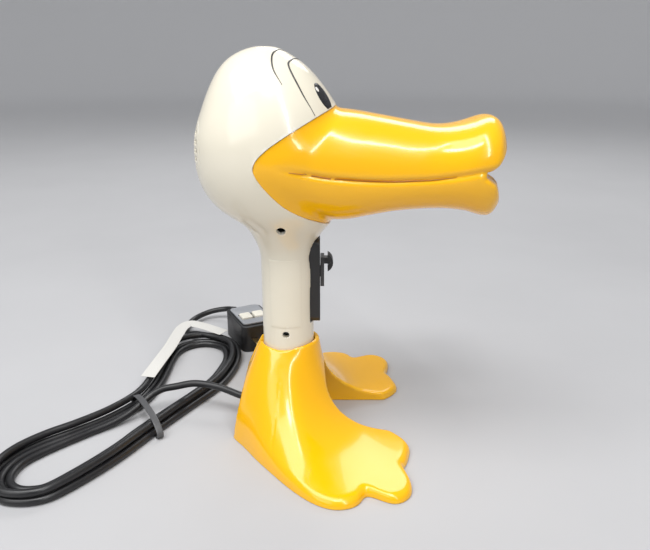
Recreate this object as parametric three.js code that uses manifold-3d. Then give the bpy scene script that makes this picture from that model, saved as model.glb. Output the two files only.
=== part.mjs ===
// A duck-shaped hair dryer that stands in a pair of duck's feet.
// Millimetres, +Z up. The bill points along +X, and the stand rests on Z = 0.
import * as THREE from "three";
import { mergeVertices } from "three/addons/utils/BufferGeometryUtils.js";
import Module from "manifold-3d";

const wasm = await Module();
wasm.setup();

// ---------------------------------------------------------------- driving sizes
const GAP = 0.3; // between pieces that touch on the real object
const WALL = 2.5; // plastic wall
const BILL_REACH = 149.5; // from the handle's axis to the tip of the bill
const HEAD_REACH = 62; // from the handle's axis to the back of the head
const HANDLE_X = (HEAD_REACH - BILL_REACH) / 2; // the handle's axis; the dryer is centred on X = 0
const HANDLE_BOTTOM = 56;
const HANDLE_HALF_DEPTH = 19;
const HANDLE_HALF_WIDTH = 17;
const COLLAR_TOP = 72;
const AIR_Z = 208; // height of the fan and the heater

// The head and the handle, one section per height: height, back, front, half width.
const HEAD_SECTIONS = [
  [HANDLE_BOTTOM, -HANDLE_HALF_DEPTH, HANDLE_HALF_DEPTH, HANDLE_HALF_WIDTH],
  [134, -HANDLE_HALF_DEPTH, HANDLE_HALF_DEPTH, HANDLE_HALF_WIDTH],
  [143, -20.5, 19.5, 18],
  [152, -24.5, 24, 22],
  [161, -31, 31, 28.5],
  [171, -45, 37, 36],
  [182, -55, 41, 41],
  [196, -60.5, 44, 45],
  [208, -62, 45, 46.5],
  [223, -61, 43, 46],
  [240, -55.5, 36.5, 42],
  [257, -48, 25, 33.5],
  [270, -38.5, 12, 22.5],
  [277, -27, 0.5, 13],
  [280, -16, -8, 4],
];

// The bill, one section per station: distance forward, top, bottom, half width.
const BILL_SECTIONS = [
  [-15, 228, 188, 43.5],
  [5, 236, 176, 44],
  [20, 240.5, 168, 43],
  [34, 241, 165, 41.5],
  [54, 238, 167.5, 39.5],
  [76, 234, 171.5, 38],
  [91, 231.3, 172.8, 37.3],
  [104, 229.6, 173.3, 37.5],
  [117, 230.6, 172.6, 38.5],
  [128, 233.5, 170.5, 39.3],
  [138.5, 236, 168, 38.5],
];
const UPPER_LIP_SECTIONS = [
  [130, 232, 203, 37],
  [138.5, 235.8, 203, 38],
  [144, 233.5, 205, 37],
  [148, 228, 210, 33],
  [BILL_REACH, 222, 215, 28],
];
const LOWER_LIP_SECTIONS = [
  [130, 199, 172, 37],
  [138.5, 198, 168.2, 38],
  [142.5, 195, 170, 36.5],
  [145.5, 190, 175, 33],
  [146.8, 186, 180, 28],
];
const MOUTH_LINE = [
  [-6, 207],
  [32, 200],
  [74, 197.5],
  [113, 200],
  [139, 204],
];
const MOUTH_GROOVE = 1.4;
const LIP_SWEEP = 7; // how far the sides of the lips lie behind their middle
const MOUTH_OPENING = { halfWidth: 27, bottom: 193.5, top: 205.5 };

// The seam between the head and the bill, seen from the side.
const SEAM = [
  [70, 262],
  [36, 243.5],
  [20, 236],
  [3, 226.5],
  [-9, 218.5],
  [-16, 211.5],
  [-18, 206],
  [-16, 200.5],
  [-10, 192],
  [1, 180.5],
  [12, 173],
  [24, 166.5],
  [33, 160.5],
  [44, 148],
];

// The edge of one foot on the floor: angle from the bill's direction, distance from the handle's axis.
const FOOT_EDGE = [
  [0, 44],
  [14, 60],
  [20, 84],
  [25, 98],
  [31, 103],
  [37, 106],
  [40, 108],
  [44, 119],
  [48, 127],
  [53, 129],
  [56, 125],
  [59.5, 113],
  [64, 115],
  [69, 117],
  [73, 115],
  [78, 108],
  [84, 96],
  [94, 78],
  [111, 61],
  [132, 52],
  [148, 51],
  [161, 47],
  [180, 40],
];
const TOE_THICKNESS = 6;
const COLLAR = { halfDepth: 24, halfWidth: 21 };
const SHELF = { bottom: 52, top: HANDLE_BOTTOM - GAP };
const ARCH = { halfWidth: 27, height: 47 }; // the way through between the legs

const SCREWS = { upper: { x: -2, z: 162, mouth: 3.2 }, lower: { x: -1, z: 80, mouth: 2.7 } };
const CORD_DIAMETER = 5.6;

// ---------------------------------------------------------------- colours
const CREAM = { color: 0xf3eedc, roughness: 0.25, metalness: 0 };
const YELLOW = { color: 0xf9a800, roughness: 0.2, metalness: 0 };
const BLACK = { color: 0x1c1c1e, roughness: 0.5, metalness: 0 };
const GREY = { color: 0x8b8d90, roughness: 0.5, metalness: 0 };
const WHITE = { color: 0xe9e6dc, roughness: 0.5, metalness: 0 };
const STEEL = { color: 0xb8bbbf, roughness: 0.35, metalness: 0.9 };
const BRASS = { color: 0xc9a24e, roughness: 0.35, metalness: 0.9 };
const MICA = { color: 0xcfc39c, roughness: 0.7, metalness: 0 };

// ---------------------------------------------------------------- making solids
function toSolid(geometry) {
  const bare = geometry.clone();
  bare.deleteAttribute("normal");
  bare.deleteAttribute("uv");
  const merged = mergeVertices(bare, 1e-4);
  const vertProperties = new Float32Array(merged.attributes.position.array);
  const triVerts = new Uint32Array(merged.index.array);
  return new wasm.Manifold(new wasm.Mesh({ numProp: 3, vertProperties, triVerts }));
}

function toGeometry(solid) {
  const mesh = solid.getMesh();
  const geometry = new THREE.BufferGeometry();
  geometry.setAttribute("position", new THREE.BufferAttribute(mesh.vertProperties, 3));
  geometry.setIndex(new THREE.BufferAttribute(mesh.triVerts, 1));
  geometry.computeVertexNormals();
  return geometry;
}

// A closed solid through rings of points that run anticlockwise, seen from where the rings lead.
function loft(rings) {
  const count = rings[0].length;
  const positions = rings.flat().flatMap((point) => point.toArray());
  const triangles = [];
  for (let ring = 0; ring < rings.length - 1; ring++) {
    for (let i = 0; i < count; i++) {
      const a = ring * count + i;
      const b = ring * count + ((i + 1) % count);
      triangles.push(a, b, b + count, a, b + count, a + count);
    }
  }
  const last = (rings.length - 1) * count;
  for (let i = 1; i < count - 1; i++) {
    triangles.push(0, i + 1, i, last, last + i, last + i + 1);
  }
  const geometry = new THREE.BufferGeometry();
  geometry.setAttribute("position", new THREE.Float32BufferAttribute(positions, 3));
  geometry.setIndex(triangles);
  return toSolid(geometry);
}

// A block from three pairs of low and high limits, along X, Y and Z.
function block(...ranges) {
  const sizes = ranges.map(([low, high]) => high - low);
  const middles = ranges.map(([low, high]) => (low + high) / 2);
  return toSolid(new THREE.BoxGeometry(...sizes).translate(...middles));
}

// A round bar along one axis, from low to high; centre gives the other two coordinates in order.
function bar(axis, [low, high], radius, centre, endRadius = radius, sides = 20) {
  const geometry = new THREE.CylinderGeometry(endRadius, radius, high - low, sides);
  const middle = (low + high) / 2;
  if (axis === "x") return toSolid(geometry.rotateZ(-Math.PI / 2).translate(middle, centre[0], centre[1]));
  if (axis === "y") return toSolid(geometry.translate(centre[0], middle, centre[1]));
  return toSolid(geometry.rotateX(Math.PI / 2).translate(centre[0], centre[1], middle));
}

// A solid of revolution about the line of the fan and heater, from [distance forward, radius] pairs.
function turned(profile, sides = 24) {
  const points = profile.map(([x, radius]) => new THREE.Vector2(radius, x));
  const geometry = new THREE.LatheGeometry([...points, points[0].clone()], sides);
  return toSolid(geometry.rotateZ(-Math.PI / 2).translate(0, 0, AIR_Z));
}

function tube([from, to], outer, inner) {
  return turned([[from, inner], [from, outer], [to, outer], [to, inner]]);
}

function extruded(shape, depth, curveSegments = 6) {
  return toSolid(new THREE.ExtrudeGeometry(shape, { depth, bevelEnabled: false, curveSegments }));
}

function roundedRectangle(width, height, radius) {
  const [x, y] = [width / 2, height / 2];
  const shape = new THREE.Shape();
  shape.absarc(x - radius, y - radius, radius, 0, Math.PI / 2);
  shape.absarc(radius - x, y - radius, radius, Math.PI / 2, Math.PI);
  shape.absarc(radius - x, radius - y, radius, Math.PI, 1.5 * Math.PI);
  shape.absarc(x - radius, radius - y, radius, 1.5 * Math.PI, 2 * Math.PI);
  return shape;
}

function interpolate(table, at) {
  const next = table.findIndex(([key]) => key >= at);
  if (next <= 0) return next === 0 ? table[0][1] : table.at(-1)[1];
  const [[x0, y0], [x1, y1]] = [table[next - 1], table[next]];
  return y0 + ((y1 - y0) * (at - x0)) / (x1 - x0);
}

function signedPower(value, exponent) {
  return Math.sign(value) * Math.abs(value) ** exponent;
}

function angles(count) {
  return Array.from({ length: count }, (_, i) => (2 * Math.PI * i) / count);
}

// ---------------------------------------------------------------- head, handle and bill as whole solids
function headSolid(inset) {
  const sections = HEAD_SECTIONS.filter(([, , , halfWidth]) => halfWidth > inset + 1);
  const rings = sections.map(([z, back, front, halfWidth], i) => {
    const height = i === 0 ? z + inset : z - (inset * i) / HEAD_SECTIONS.length;
    const middle = (back + front) / 2;
    const halfDepth = (front - back) / 2 - inset;
    return angles(32).map((angle) => {
      const x = middle + halfDepth * Math.cos(angle);
      return new THREE.Vector3(x, (halfWidth - inset) * Math.sin(angle), height);
    });
  });
  return loft(rings);
}

// Sections of the bill run round from +Y. The sides of the lips lie behind their middle.
function billRing(station, y, z) {
  const towardsTip = THREE.MathUtils.smoothstep(station, 90, 140);
  const back = LIP_SWEEP * towardsTip * (y / 39) ** 2;
  return new THREE.Vector3(station - back, y, z);
}

function billBody(inset) {
  const besideGroove = [-0.035, 0.035];
  const grooveTurns = besideGroove.flatMap((turn) => [turn, turn + Math.PI]);
  const turns = [...angles(24), ...grooveTurns.map((turn) => (turn + 2 * Math.PI) % (2 * Math.PI))];
  const sorted = turns.sort((a, b) => a - b);
  const stations = BILL_SECTIONS.map(([x, top, bottom, halfWidth]) => {
    const mouth = interpolate(MOUTH_LINE, x);
    const groove = inset === 0 && x > 0 ? MOUTH_GROOVE : 0;
    return sorted.map((angle) => {
      const onGroove = Math.abs(Math.sin(angle)) < 0.001;
      const width = halfWidth - inset - (onGroove ? groove : 0);
      const reach = Math.sin(angle) > 0 ? top - inset - mouth : mouth - bottom - inset;
      const y = width * signedPower(Math.cos(angle), 0.85);
      return billRing(x, y, mouth + reach * signedPower(Math.sin(angle), 0.85));
    });
  });
  return loft(stations);
}

function lip(sections) {
  return loft(sections.map(([x, top, bottom, halfWidth]) => angles(24).map((angle) => {
    const y = halfWidth * signedPower(Math.cos(angle), 0.75);
    const z = (top + bottom) / 2 + ((top - bottom) / 2) * signedPower(Math.sin(angle), 0.85);
    return billRing(x, y, z);
  })));
}

// Everything ahead of the seam, grown backwards by margin.
function aheadOfSeam(margin) {
  const shape = new THREE.Shape(SEAM.map(([x, z]) => new THREE.Vector2(x - margin, z)));
  shape.lineTo(200, 120);
  shape.lineTo(200, 290);
  const solid = toSolid(new THREE.ExtrudeGeometry(shape, { depth: 140, bevelEnabled: false }));
  return solid.rotate([90, 0, 0]).translate([0, 70, 0]);
}

function mouthOpening() {
  const { halfWidth, bottom, top } = MOUTH_OPENING;
  const shape = roundedRectangle(2 * halfWidth, top - bottom, 5);
  const solid = extruded(shape, 50);
  return solid.rotate([90, 0, 90]).translate([112, 0, (top + bottom) / 2]);
}

function side(y) {
  return y < 0 ? block([-100, 200], [-90, -GAP / 2], [0, 300]) : block([-100, 200], [GAP / 2, 90], [0, 300]);
}

// ---------------------------------------------------------------- the dryer's shells
const headOuter = headSolid(0);
const headInner = headSolid(WALL);
const billOuter = billBody(0).add(lip(UPPER_LIP_SECTIONS)).add(lip(LOWER_LIP_SECTIONS));
const billInner = billBody(WALL).subtract(block([124, 200], [-60, 60], [100, 300]));
const INLET = { z: 214, radius: 23, pitch: 5.4, slotHalf: 1.4, ribHalf: 4 };
const OUTLET = { from: 103, to: 105.5, z: 201, pitch: 6.2, slotHalf: 1.9, ribHalf: 1.5, slotReach: 26 };

function screwBosses() {
  return Object.values(SCREWS).map(({ x, z }) => bar("y", [-24, 24], 5, [x, z]));
}

function screwHoles() {
  return Object.values(SCREWS).flatMap(({ x, z, mouth }) => [
    bar("y", [-40, -7], mouth, [x, z]),
    bar("y", [-8, 13], 1.8, [x, z]),
  ]);
}

function headShells() {
  let whole = headOuter.subtract(headInner);
  for (const boss of screwBosses()) whole = whole.add(boss.intersect(headOuter));
  const inlet = bar("x", [-80, -30], INLET.radius, [0, INLET.z], INLET.radius, 32);
  const cordHole = bar("z", [50, 60], RELIEF_NECK + 0.4, [0, 0]);
  const plateHalf = PLATE.halfWidth + GAP;
  const plateHole = block([13, 30], [-plateHalf, plateHalf], [PLATE.bottom - GAP, PLATE.top + GAP]);
  for (const hole of [aheadOfSeam(GAP), inlet, cordHole, plateHole, ...screwHoles()]) {
    whole = whole.subtract(hole);
  }
  return whole;
}

function billShells() {
  const outer = billOuter.add(headOuter).intersect(aheadOfSeam(0));
  return outer.subtract(billInner).subtract(headInner).subtract(mouthOpening());
}

function inletGrille() {
  const { z: middle, pitch, slotHalf, ribHalf } = INLET;
  const radius = INLET.radius - GAP;
  const disc = bar("x", [-80, -30], radius, [0, middle], radius, 32);
  let grille = headOuter.subtract(headInner).intersect(disc);
  for (let row = -3; row <= 3; row++) {
    const z = middle + row * pitch;
    const halfLength = Math.sqrt((INLET.radius - 4) ** 2 - (row * pitch) ** 2);
    for (const ends of [[-halfLength, -ribHalf], [ribHalf, halfLength]]) {
      grille = grille.subtract(block([-80, -30], ends, [z - slotHalf, z + slotHalf]));
    }
  }
  return grille;
}

function outletGrille() {
  const { from, to, z: middle, pitch, slotHalf, ribHalf, slotReach } = OUTLET;
  let grille = billBody(WALL + 0.5).intersect(block([from, to], [-60, 60], [100, 300]));
  for (let row = -3; row <= 3; row++) {
    const z = middle + row * pitch;
    for (const ends of [[-slotReach, -ribHalf], [ribHalf, slotReach]]) {
      grille = grille.subtract(block([from - 1, to + 1], ends, [z - slotHalf, z + slotHalf]));
    }
  }
  return grille;
}

// ---------------------------------------------------------------- fan, motor and heater
const FAN = { from: -46, to: -4, outer: 27, inner: 25.4, bladeReach: 24.4, blades: 7 };
const MOTOR = { from: -28, to: 4, radius: 13.5 };
const SHAFT_RADIUS = 1.2;
const HEATER = { from: 8, to: 92, sleeve: 20.5, boardHalf: 13.6, coil: 16 };

function fanDuct() {
  const throat = HEATER.sleeve - 0.2;
  let duct = turned([
    [FAN.from, FAN.inner],
    [FAN.from, FAN.outer],
    [FAN.to - 4, FAN.outer],
    [HEATER.from - 2, throat + 1.4],
    [HEATER.from - 2, throat],
    [FAN.to - 4, FAN.inner],
  ]);
  const cup = tube([MOTOR.from + 8, MOTOR.to - 6], MOTOR.radius + GAP + 1.6, MOTOR.radius + GAP);
  duct = duct.add(cup);
  for (let strut = 0; strut < 4; strut++) {
    const vane = block([MOTOR.from + 9, MOTOR.to - 8], [-0.8, 0.8], [MOTOR.radius + 1, FAN.inner + 0.6]);
    duct = duct.add(vane.rotate([45 + strut * 90, 0, 0]).translate([0, 0, AIR_Z]));
  }
  return duct;
}

function motor() {
  const bore = SHAFT_RADIUS + GAP;
  const bearing = 4;
  return turned([
    [MOTOR.from - 3, bore],
    [MOTOR.from - 3, bearing],
    [MOTOR.from, bearing],
    [MOTOR.from, MOTOR.radius - 1.5],
    [MOTOR.from + 1.5, MOTOR.radius],
    [MOTOR.to - 1, MOTOR.radius],
    [MOTOR.to, MOTOR.radius - 1],
    [MOTOR.to, bearing],
    [MOTOR.to + 2, bearing],
    [MOTOR.to + 2, bore],
  ]);
}

function impeller() {
  const [back, front] = [-43, -33];
  const bore = SHAFT_RADIUS + 0.2;
  let wheel = turned([[back, bore], [back, 4], [back + 4, 8], [front, 8], [front, bore]]);
  for (let blade = 0; blade < FAN.blades; blade++) {
    const vane = block([-4, 4], [-0.7, 0.7], [6, FAN.bladeReach]).rotate([0, 0, 35]);
    const turn = (360 * blade) / FAN.blades;
    wheel = wheel.add(vane.rotate([turn, 0, 0]).translate([(back + front) / 2 + 1, 0, AIR_Z]));
  }
  return wheel;
}

// One of the two crossed boards; each has a slot along half its length for the other.
function heaterBoard(slotFrom, slotTo, turn) {
  const { boardHalf, from, to } = HEATER;
  const board = block([from + 2, to - 2], [-0.5, 0.5], [-boardHalf, boardHalf]);
  const slot = block([slotFrom, slotTo], [-2, 2], [-0.8, 0.8]);
  return board.subtract(slot).rotate([turn, 0, 0]).translate([0, 0, AIR_Z]);
}

function spring(from, to, turns, radius, wire) {
  const route = new THREE.Curve();
  route.getPoint = (t) => {
    const angle = 2 * Math.PI * turns * t;
    const [y, z] = [radius * Math.cos(angle), AIR_Z + radius * Math.sin(angle)];
    return new THREE.Vector3(from + (to - from) * t, y, z);
  };
  const section = new THREE.Shape().absarc(0, 0, wire, 0, 2 * Math.PI);
  return new THREE.ExtrudeGeometry(section, { steps: turns * 10, curveSegments: 3, extrudePath: route });
}

// ---------------------------------------------------------------- switch on the front of the handle
const PLATE = { bottom: 86, top: 150, halfWidth: 8, back: 15.5, front: 24 };
const SLIDER = { bottom: 114, top: 136, travel: 10 };

function switchPlate() {
  const shape = roundedRectangle(2 * PLATE.halfWidth, PLATE.top - PLATE.bottom, 5);
  let plate = extruded(shape, PLATE.front - PLATE.back);
  plate = plate.rotate([90, 0, 90]).translate([PLATE.back, 0, (PLATE.top + PLATE.bottom) / 2]);
  const slot = { low: SLIDER.bottom + 6 - SLIDER.travel - 0.5, high: SLIDER.top - 8 + 0.5 };
  return plate.subtract(block([10, 30], [-2, 2], [slot.low, slot.high]));
}

function switchSlider() {
  const { front } = PLATE;
  const body = block([front + GAP, front + 3], [-5.5, 5.5], [SLIDER.bottom, SLIDER.top]);
  const neck = block([front + 2, front + 8], [-3, 3], [130.5, 135]);
  const finger = bar("y", [-5, 5], 7, [front + 2.5, 131.5], 7, 24);
  const hollow = bar("y", [-6, 6], 4.6, [front + 2.5, 131.5], 4.6, 24);
  const hook = finger.subtract(hollow).intersect(block([front + 5.5, front + 12], [-5, 5], [124, 140]));
  const stem = block([PLATE.back - 1, front + 1], [-1.6, 1.6], [SLIDER.bottom + 6, SLIDER.top - 8]);
  return body.add(neck).add(hook).add(stem);
}

function switchBody() {
  const cover = block([2, PLATE.back - 1.5], [-6, 6], [96, 142]);
  const track = block([PLATE.back - 4, PLATE.back], [-2.2, 2.2], [104, 134]);
  return cover.subtract(track);
}

// ---------------------------------------------------------------- cord relief, clamp and screws
const RELIEF_END = 38;
const RELIEF_NECK = 4.3; // radius where it passes through the bottom of the handle

function strainRelief() {
  const flange = bar("z", [HANDLE_BOTTOM + WALL + GAP, HANDLE_BOTTOM + WALL + 2.8], 7.5, [0, 0]);
  const neck = bar("z", [HANDLE_BOTTOM - 1, HANDLE_BOTTOM + WALL + 1], RELIEF_NECK, [0, 0]);
  const sleeve = bar("z", [RELIEF_END, HANDLE_BOTTOM - 0.5], 3.8, [0, 0], 6);
  return flange.add(neck).add(sleeve);
}

function cordClamp() {
  const bridge = block([-11, 11], [-4.5, 4.5], [64, 69]);
  return bridge.subtract(bar("z", [60, 75], CORD_DIAMETER / 2 - 0.2, [0, 0]));
}

function screw({ x, z, mouth }) {
  const head = bar("y", [-9.5, -7 - GAP], mouth - 0.5, [x, z]);
  const shank = bar("y", [-8, 11], 1.5, [x, z]);
  const recess = block([x - 0.4, x + 0.4], [-11, -8.6], [z - 1.8, z + 1.8]);
  return head.add(shank).subtract(recess);
}

// ---------------------------------------------------------------- stand
function footReach(degrees) {
  return interpolate(FOOT_EDGE, Math.abs(degrees));
}

// The height of the stand's skin, at a share of the way from the collar to the edge on the floor.
function skinHeight(reach, share, top) {
  const start = COLLAR.halfDepth;
  const away = share * (reach - start);
  const fall = 8 + 0.19 * Math.max(reach - 50, 0);
  const slope = (top - TOE_THICKNESS) * Math.exp(-away / fall);
  const edge = Math.sqrt(Math.max(0, 1 - THREE.MathUtils.smoothstep(share, 0.9, 1) ** 2));
  return (TOE_THICKNESS + slope) * edge;
}

function standSkin(inset) {
  const shares = [0, 0.04, 0.09, 0.16, 0.25, 0.36, 0.5, 0.66, 0.82, 0.92, 0.97, 1];
  const degrees = [...FOOT_EDGE.map(([angle]) => angle), 8, 35, 50.5, 66.5, 102, 122, 140, 171];
  const sorted = degrees.sort((a, b) => a - b);
  const around = [...sorted, ...sorted.slice(1, -1).reverse().map((angle) => -angle)];
  const ringAt = (share, height) => around.map((angle) => {
    const turn = THREE.MathUtils.degToRad(angle);
    const start = Math.hypot(COLLAR.halfDepth * Math.cos(turn), COLLAR.halfWidth * Math.sin(turn));
    const reach = footReach(angle);
    const radius = start + (reach - start) * share - inset;
    const z = height ?? skinHeight(reach, share, COLLAR_TOP - 6) - inset;
    return new THREE.Vector3(radius * Math.cos(turn), radius * Math.sin(turn), share === 1 ? -inset : z);
  });
  const rings = shares.reverse().map((share) => ringAt(share));
  return loft([...rings, ringAt(0, COLLAR_TOP - inset)]);
}

function arch(grow) {
  const shape = new THREE.Shape();
  shape.moveTo(-ARCH.halfWidth - grow, -5);
  shape.lineTo(ARCH.halfWidth + grow, -5);
  shape.lineTo(ARCH.halfWidth + grow, 0);
  shape.absellipse(0, 0, ARCH.halfWidth + grow, ARCH.height + grow, 0, Math.PI);
  return extruded(shape, 240, 10).rotate([90, 0, 90]).translate([-110, 0, 0]);
}

function oval(halfDepth, halfWidth, [low, high]) {
  const ring = (z) => angles(32).map((angle) => {
    return new THREE.Vector3(halfDepth * Math.cos(angle), halfWidth * Math.sin(angle), z);
  });
  return loft([ring(low), ring(high)]);
}

function standShell() {
  const socket = oval(HANDLE_HALF_DEPTH + 0.6, HANDLE_HALF_WIDTH + 0.6, [SHELF.top, 90]);
  const socketWall = oval(HANDLE_HALF_DEPTH + 3.2, HANDLE_HALF_WIDTH + 3.2, [SHELF.bottom - 1, 90]);
  const hollow = standSkin(WALL).subtract(arch(WALL)).subtract(socketWall);
  let shell = standSkin(0).subtract(hollow).subtract(arch(0)).subtract(socket);
  shell = shell.subtract(bar("z", [40, 60], 9, [0, 0]));
  shell = shell.subtract(block([-60, 0], [-5, 5], [30, 90]));
  return shell.intersect(block([-150, 150], [-150, 150], [0, 100]));
}

// ---------------------------------------------------------------- cord, hank and plug behind the stand
const HANK = { height: 14 };
const HANK_OUTLINE = [
  [-93, 88],
  [-119, 130],
  [-146, 152],
  [-164, 122],
  [-173, 60],
  [-178, 22],
  [-208, -6],
  [-245, -50],
  [-242, -98],
  [-205, -112],
  [-165, -78],
  [-138, -33],
  [-116, 12],
  [-100, 50],
];
const TIE = { x: -157, y: -4, turn: -57, length: 84, width: 5, thickness: 1.6 };
const PLUG = { x: -90, y: 147, turn: -63.4, length: 54, width: 36, height: 26 };

// From the end of the strain relief, out through the back of the arch, and onto the hank.
const CORD_ROUTE = [
  [HANDLE_X, 0, RELIEF_END - GAP],
  [HANDLE_X, 0, 34.5],
  [HANDLE_X - 1.8, 0, 27.5],
  [HANDLE_X - 6.5, 0.3, 21],
  [HANDLE_X - 13.5, 1, 16],
  [HANDLE_X - 23, 2.5, 14],
  [HANDLE_X - 38, 5.5, 16.5],
  [HANDLE_X - 58, 11, 21.5],
  [HANDLE_X - 78, 16, 22],
  [HANDLE_X - 94, 16.5, 18.8],
  [HANDLE_X - 104, 15, 17.3],
];
// From the far side of the hank round into the plug.
const TAIL_ROUTE = [
  [-155.5, 152, 4.5],
  [-159, 170, 4.5],
  [-154, 188, 5.5],
  [-140, 200, 8],
  [-123, 200.5, 11],
  [-114, 194.7, 13],
];

function cord(route, steps) {
  const points = route.map(([x, y, z]) => new THREE.Vector3(x, y, z));
  const curve = new THREE.CatmullRomCurve3(points, false, "centripetal");
  const section = new THREE.Shape().absarc(0, 0, CORD_DIAMETER / 2, 0, 2 * Math.PI);
  return new THREE.ExtrudeGeometry(section, { steps, curveSegments: 5, extrudePath: curve });
}

function hank() {
  const corners = HANK_OUTLINE.map(([x, y]) => new THREE.Vector3(x, y, 0));
  const curve = new THREE.CatmullRomCurve3(corners, true, "centripetal");
  const shape = new THREE.Shape(curve.getPoints(42).slice(0, -1));
  return new THREE.ExtrudeGeometry(shape, { depth: HANK.height, bevelEnabled: false });
}

function cordTie() {
  const { length, width, thickness } = TIE;
  const inside = HANK.height + GAP;
  const outer = block([-length / 2, length / 2], [-width / 2, width / 2], [0, inside + thickness]);
  const halfInside = length / 2 - thickness;
  return outer.subtract(block([-halfInside, halfInside], [-width, width], [-1, inside]));
}

function hangTag() {
  const outerEdge = [[-119, 143], [-157.5, 165], [-174, 46]];
  const innerEdge = [[-162, 44.5], [-148.5, 152], [-113, 132]];
  const corners = [...outerEdge, ...innerEdge];
  const shape = new THREE.Shape(corners.map(([x, y]) => new THREE.Vector2(x, y)));
  const strip = new THREE.ExtrudeGeometry(shape, { depth: 0.8, bevelEnabled: false });
  return strip.translate(0, 0, HANK.height + GAP);
}

const BUTTON = { width: 11, length: 13, height: 7, y: 6.6, x: 4, travel: 1.5 };
const BUTTON_SIDES = { test: -1, reset: 1 };

function plugBody() {
  const shape = roundedRectangle(PLUG.length, PLUG.width, 7);
  let body = extruded(shape, PLUG.height);
  for (const sign of Object.values(BUTTON_SIDES)) {
    const [halfLength, halfWidth] = [BUTTON.length / 2 + 0.4, BUTTON.width / 2 + 0.4];
    const y = sign * BUTTON.y;
    const well = block(
      [BUTTON.x - halfLength, BUTTON.x + halfLength],
      [y - halfWidth, y + halfWidth],
      [PLUG.height - 8, PLUG.height + 1],
    );
    body = body.subtract(well);
  }
  return body;
}

function plugPanel() {
  const plate = extruded(roundedRectangle(PLUG.length - 10, PLUG.width - 6, 4), 1.6);
  const window = block(
    [BUTTON.x - BUTTON.length / 2 - 0.6, BUTTON.x + BUTTON.length / 2 + 0.6],
    [-BUTTON.y - BUTTON.width / 2 - 0.6, BUTTON.y + BUTTON.width / 2 + 0.6],
    [-1, 3],
  );
  return plate.subtract(window).translate([0, 0, PLUG.height + GAP]);
}

function plugBlade(sign) {
  const from = PLUG.length / 2 + GAP;
  const blade = block([from, from + 17], [-3.1, 3.1], [-0.75, 0.75]);
  return blade.translate([0, sign * 6.35, PLUG.height / 2]);
}

function plugRelief() {
  const from = -PLUG.length / 2 - GAP;
  return bar("x", [from - 24, from], 3.8, [0, PLUG.height / 2], 6.5);
}

// ---------------------------------------------------------------- assembly
function mesh(name, shape, look) {
  const geometry = shape.isBufferGeometry ? shape : toGeometry(shape);
  const piece = new THREE.Mesh(geometry, new THREE.MeshStandardMaterial(look));
  piece.name = name;
  return piece;
}

const dryer = new THREE.Group();
dryer.position.x = HANDLE_X;
const heads = headShells();
const bills = billShells();
dryer.add(
  mesh("head_shell_right", heads.intersect(side(-1)), CREAM),
  mesh("head_shell_left", heads.intersect(side(1)), CREAM),
  mesh("bill_right", bills.intersect(side(-1)), YELLOW),
  mesh("bill_left", bills.intersect(side(1)), YELLOW),
  mesh("inlet_grille", inletGrille(), CREAM),
  mesh("outlet_grille", outletGrille(), BLACK),
  mesh("fan_duct", fanDuct(), BLACK),
  mesh("motor", motor(), STEEL),
  mesh("motor_shaft", bar("x", [-43, 9], SHAFT_RADIUS, [0, AIR_Z], SHAFT_RADIUS, 12), STEEL),
  mesh("impeller", impeller(), WHITE),
  mesh("heater_sleeve", tube([HEATER.from, HEATER.to], HEATER.sleeve, HEATER.sleeve - 0.8), MICA),
  mesh("heater_board_vertical", heaterBoard(50, HEATER.to, 0), MICA),
  mesh("heater_board_horizontal", heaterBoard(HEATER.from, 50, 90), MICA),
  mesh("heater_coil", spring(16, 84, 7, HEATER.coil, 0.9), STEEL),
  mesh("thermostat", block([26, 34], [0.8, 4.8], [AIR_Z + 3, AIR_Z + 11]), BRASS),
  mesh("thermal_fuse", bar("x", [38, 48], 1.6, [-2.5, AIR_Z + 7], 1.6, 12), WHITE),
  mesh("switch_plate", switchPlate(), BLACK),
  mesh("switch_slider", switchSlider(), BLACK),
  mesh("switch_body", switchBody(), BLACK),
  mesh("strain_relief", strainRelief(), BLACK),
  mesh("cord_clamp", cordClamp(), BLACK),
  mesh("upper_handle_screw", screw(SCREWS.upper), STEEL),
  mesh("lower_handle_screw", screw(SCREWS.lower), STEEL),
);

const stand = new THREE.Group();
stand.position.x = HANDLE_X;
stand.add(mesh("stand_shell", standShell(), YELLOW));

const plug = new THREE.Group();
plug.position.set(PLUG.x, PLUG.y, 0);
plug.rotation.z = THREE.MathUtils.degToRad(PLUG.turn);
plug.add(
  mesh("plug_body", plugBody(), BLACK),
  mesh("plug_panel", plugPanel(), GREY),
  mesh("plug_blade_right", plugBlade(-1), BRASS),
  mesh("plug_blade_left", plugBlade(1), BRASS),
  mesh("plug_strain_relief", plugRelief(), BLACK),
);
for (const [name, sign] of Object.entries(BUTTON_SIDES)) {
  const button = extruded(roundedRectangle(BUTTON.length, BUTTON.width, 2), BUTTON.height);
  const piece = mesh(`${name}_button`, button, WHITE);
  piece.position.set(BUTTON.x, sign * BUTTON.y, PLUG.height - 3.5);
  plug.add(piece);
}

const cordSet = new THREE.Group();
const tie = mesh("cord_tie", cordTie(), BLACK);
tie.position.set(TIE.x, TIE.y, 0);
tie.rotation.z = THREE.MathUtils.degToRad(TIE.turn);
cordSet.add(
  mesh("cord_lead", cord(CORD_ROUTE, 14), BLACK),
  mesh("cord_tail", cord(TAIL_ROUTE, 8), BLACK),
  mesh("cord_hank", hank(), BLACK),
  tie,
  mesh("hang_tag", hangTag(), WHITE),
);

const group = new THREE.Group();
group.add(dryer, stand, cordSet, plug);
export default group;
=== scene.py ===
import math

import bmesh
import bpy
import numpy as np
from mathutils import Matrix, Vector


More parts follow.
